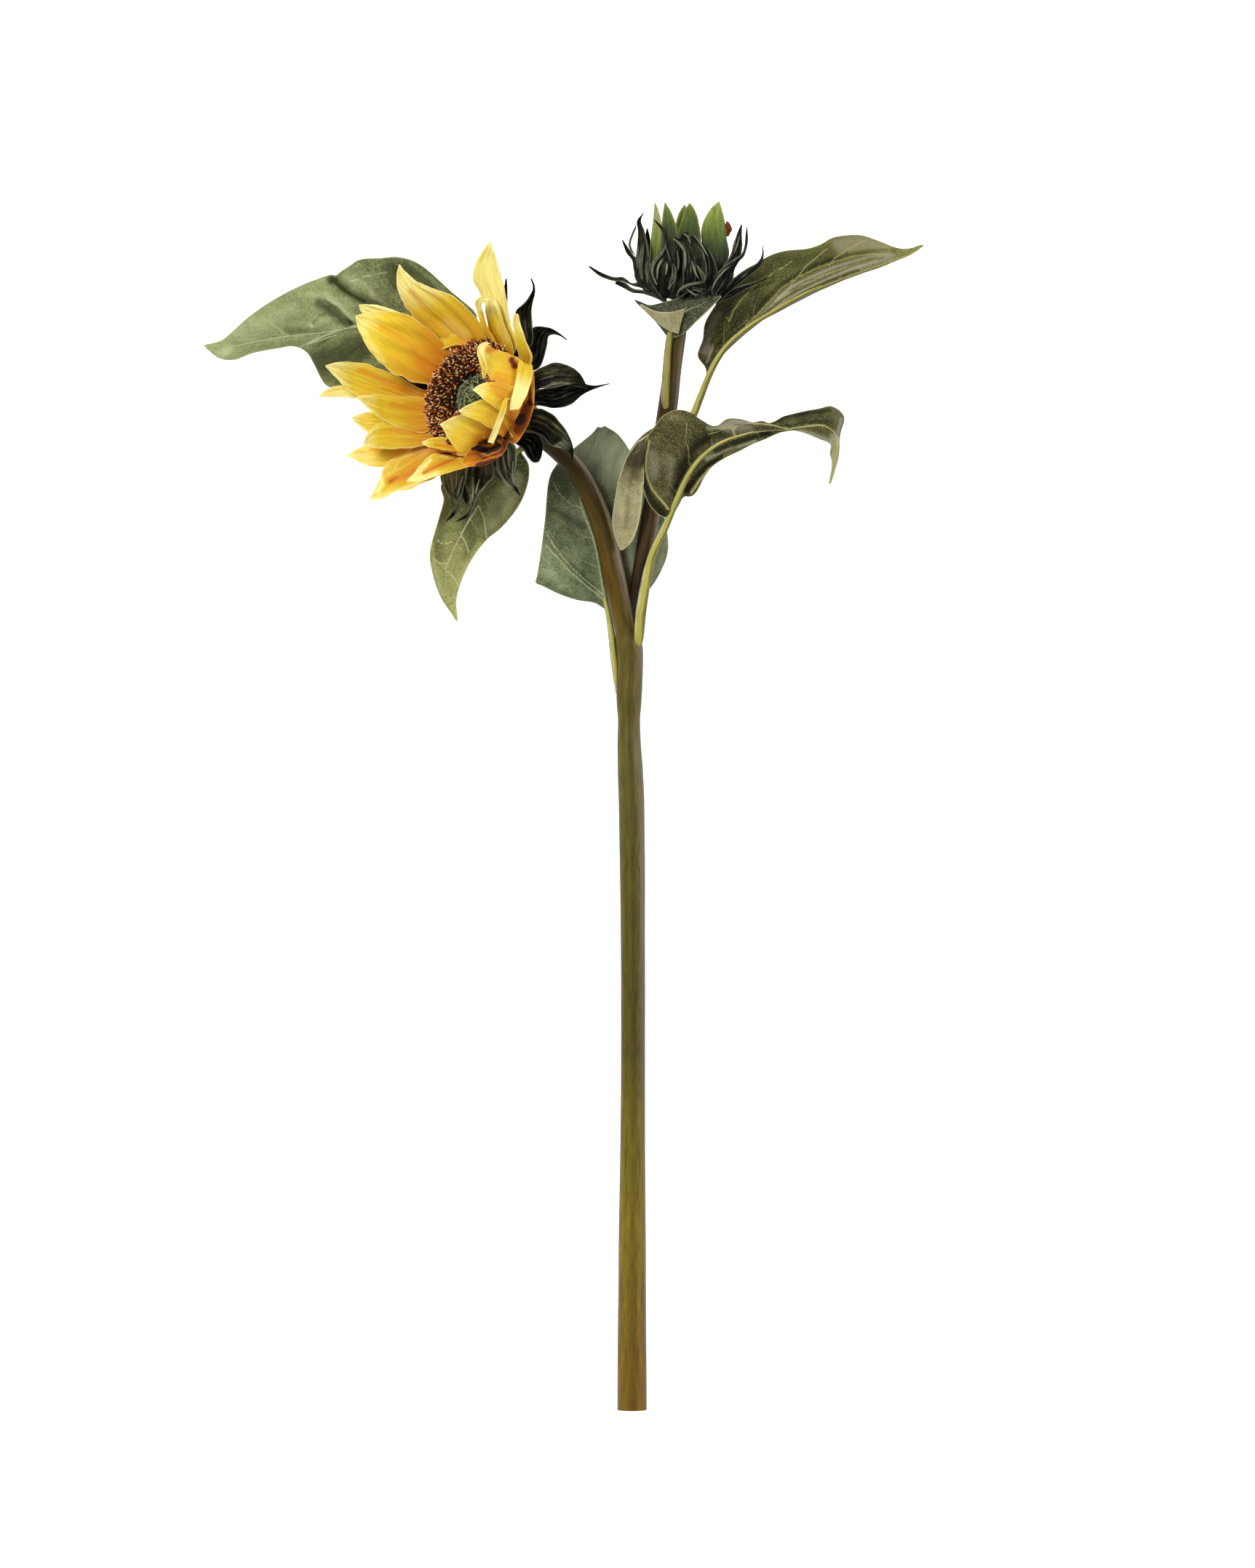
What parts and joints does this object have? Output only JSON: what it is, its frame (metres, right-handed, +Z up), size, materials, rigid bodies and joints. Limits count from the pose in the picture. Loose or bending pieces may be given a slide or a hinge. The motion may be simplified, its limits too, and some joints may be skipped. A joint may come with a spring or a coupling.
{
  "type": "cut sunflower",
  "caption": "Cut sunflower lying flat, with an open flower on a bent neck, a half-open bud on a side branch and broad, curling leaves.",
  "frame": {"origin": "on the surface the flower lies on, under the middle of its whole extent", "axes": "+Y along the stem from its cut end towards the flower and bud; +Z up from the surface; +X across the stem, from the open flower towards the bud"},
  "size_m": [0.3971, 0.6648, 0.1019],
  "materials": {
    "stem": "satin olive brown",
    "leaf": "matt grey green",
    "bract": "matt black green",
    "florets": "matt rust brown",
    "flower_centre": "matt dark green",
    "petal": "soft golden yellow",
    "bud_petal": "soft green"
  },
  "bodies": {
    "root": {"stem": "stem", "bud_branch": "stem", "leaf_behind_fork": "leaf", "leaf_behind_head": "leaf", "leaf_below_head": "leaf", "leaf_beside_bud": "leaf", "leaf_front_fork": "leaf", "leaf_under_bud": "leaf", "flower_receptacle": "bract", "disc_florets": "florets", "disc_centre": "flower_centre", "ray_petal_01": "petal", "ray_petal_02": "petal", "ray_petal_03": "petal", "ray_petal_04": "petal", "ray_petal_05": "petal", "ray_petal_06": "petal", "ray_petal_07": "petal", "ray_petal_08": "petal", "ray_petal_09": "petal", "ray_petal_10": "petal", "ray_petal_11": "petal", "ray_petal_12": "petal", "ray_petal_13": "petal", "ray_petal_14": "petal", "ray_petal_15": "petal", "ray_petal_16": "petal", "ray_petal_17": "petal", "ray_petal_18": "petal", "ray_petal_19": "petal", "ray_petal_20": "petal", "ray_petal_21": "petal", "ray_petal_22": "petal", "ray_petal_23": "petal", "flower_bract_01": "bract", "flower_bract_02": "bract", "flower_bract_03": "bract", "flower_bract_04": "bract", "flower_bract_05": "bract", "flower_bract_06": "bract", "flower_bract_07": "bract", "flower_bract_08": "bract", "flower_bract_09": "bract", "flower_bract_10": "bract", "flower_bract_11": "bract", "flower_bract_12": "bract", "bud_receptacle": "bract", "bud_petal_1": "bud_petal", "bud_petal_2": "bud_petal", "bud_petal_3": "bud_petal", "bud_petal_4": "bud_petal", "bud_petal_5": "bud_petal", "bud_bract_1": "bract", "bud_bract_2": "bract", "bud_bract_3": "bract", "bud_bract_4": "bract", "bud_bract_5": "bract", "bud_bract_6": "bract", "bud_bract_7": "bract", "bud_bract_8": "bract"}
  },
  "joints": []
}
